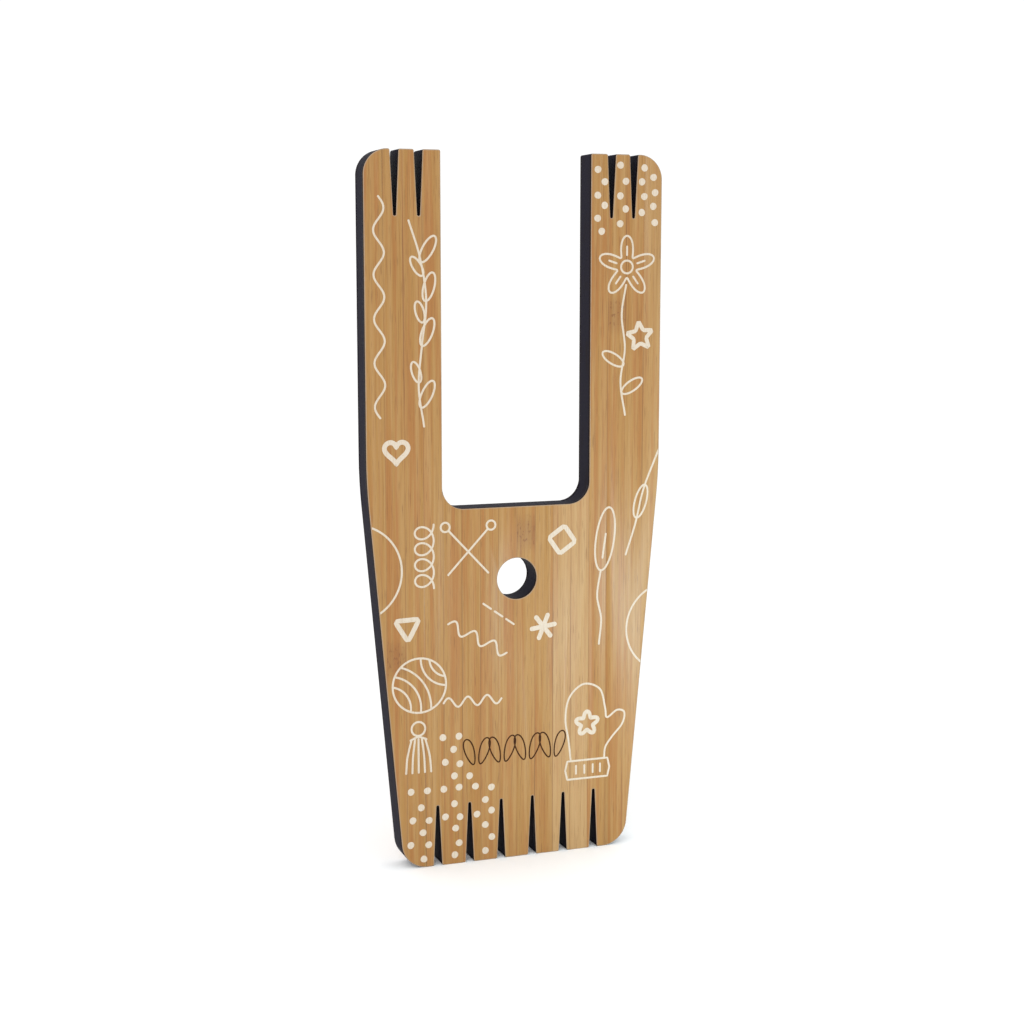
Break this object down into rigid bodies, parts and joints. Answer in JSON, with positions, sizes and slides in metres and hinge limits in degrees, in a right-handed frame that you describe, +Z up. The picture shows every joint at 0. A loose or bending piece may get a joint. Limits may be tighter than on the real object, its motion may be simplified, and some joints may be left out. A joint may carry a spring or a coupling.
{
  "type": "hand loom",
  "caption": "Flat bamboo hand loom with two upright prongs, tapering sides, V-shaped yarn slots along both ends and a round hole in the middle.",
  "frame": {"origin": "middle of the bottom edge, halfway through the board's thickness", "axes": "+Z up along the prongs, +X across the board to the right seen from the front, -Y out of the printed front face"},
  "size_m": [0.083, 0.008, 0.1905],
  "materials": {
    "face_bamboo": "satin, fine upright grain, laser-darkened cut edges",
    "core_bamboo": "satin, cross grain, laser-darkened cut edges",
    "white_ink": "thin matt printed ink",
    "scorched_line": "laser-scorched line"
  },
  "bodies": {
    "root": {"front_strip_01": "face_bamboo", "front_strip_02": "face_bamboo", "front_strip_03": "face_bamboo", "front_strip_04": "face_bamboo", "front_strip_05": "face_bamboo", "front_strip_06": "face_bamboo", "front_strip_07": "face_bamboo", "front_strip_08": "face_bamboo", "front_strip_09": "face_bamboo", "front_strip_10": "face_bamboo", "front_strip_11": "face_bamboo", "front_strip_12": "face_bamboo", "front_strip_13": "face_bamboo", "front_strip_14": "face_bamboo", "front_strip_15": "face_bamboo", "front_strip_16": "face_bamboo", "back_strip_01": "face_bamboo", "back_strip_02": "face_bamboo", "back_strip_03": "face_bamboo", "back_strip_04": "face_bamboo", "back_strip_05": "face_bamboo", "back_strip_06": "face_bamboo", "back_strip_07": "face_bamboo", "back_strip_08": "face_bamboo", "back_strip_09": "face_bamboo", "back_strip_10": "face_bamboo", "back_strip_11": "face_bamboo", "back_strip_12": "face_bamboo", "back_strip_13": "face_bamboo", "back_strip_14": "face_bamboo", "back_strip_15": "face_bamboo", "back_strip_16": "face_bamboo", "core_slat_01": "core_bamboo", "core_slat_02": "core_bamboo", "core_slat_03": "core_bamboo", "core_slat_04": "core_bamboo", "core_slat_05": "core_bamboo", "core_slat_06": "core_bamboo", "core_slat_07": "core_bamboo", "core_slat_08": "core_bamboo", "core_slat_09": "core_bamboo", "core_slat_10": "core_bamboo", "core_slat_11": "core_bamboo", "core_slat_12": "core_bamboo"}
  },
  "joints": []
}
